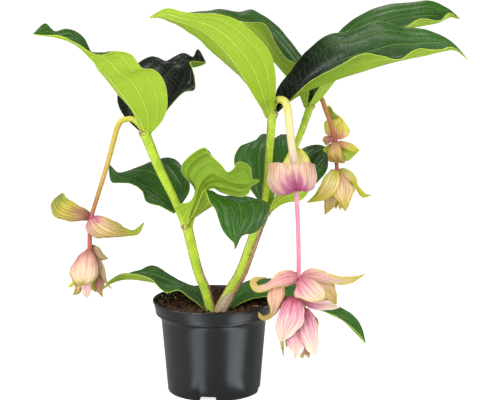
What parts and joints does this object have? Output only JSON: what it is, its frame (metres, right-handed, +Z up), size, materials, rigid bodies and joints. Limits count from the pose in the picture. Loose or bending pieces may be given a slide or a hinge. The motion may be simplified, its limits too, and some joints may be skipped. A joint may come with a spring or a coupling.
{
  "type": "medinilla house plant in a nursery pot",
  "caption": "Medinilla with broad ribbed leaves on winged stems and hanging flower stalks of pale pink bracts, growing in a round black nursery pot filled with soil.",
  "frame": {"origin": "centre of the pot's flat underside, on the surface that it stands on", "axes": "+Z up along the pot's axis, +X to the viewer's right in front of the plant, +Y away from the viewer"},
  "size_m": [0.5694, 0.3225, 0.5462],
  "materials": {
    "pot": "satin black moulded plastic",
    "soil": "loose dark peat with white perlite",
    "stem": "lime green with tan corky ridges",
    "flower_stalk": "smooth, green to tan and pink",
    "leaf": "glossy dark green, yellow-green below",
    "upper_bract": "satin, olive yellow to tan and pink",
    "lower_bract": "satin, pale pink to cream"
  },
  "bodies": {
    "root": {"stem_left": "stem", "stem_right": "stem", "stalk_left": "flower_stalk", "stalk_front": "flower_stalk", "stalk_back": "flower_stalk", "leaf_left_front": "leaf", "leaf_left_back": "leaf", "leaf_top_left": "leaf", "leaf_branch_left": "leaf", "leaf_right_front": "leaf", "leaf_branch_right": "leaf", "leaf_mid_left": "leaf", "leaf_mid_curled": "leaf", "leaf_mid_hanging": "leaf", "leaf_right_back": "leaf", "leaf_right_side": "leaf", "leaf_right_small": "leaf", "leaf_low_left": "leaf", "leaf_low_right": "leaf", "bloom_left_upper": "upper_bract", "bloom_left_lower": "lower_bract", "bloom_front_upper": "upper_bract", "bloom_front_middle": "lower_bract", "bloom_front_lower": "lower_bract", "bloom_back_upper": "upper_bract", "bloom_back_lower": "upper_bract", "soil": "soil", "pot": "pot"}
  },
  "joints": []
}
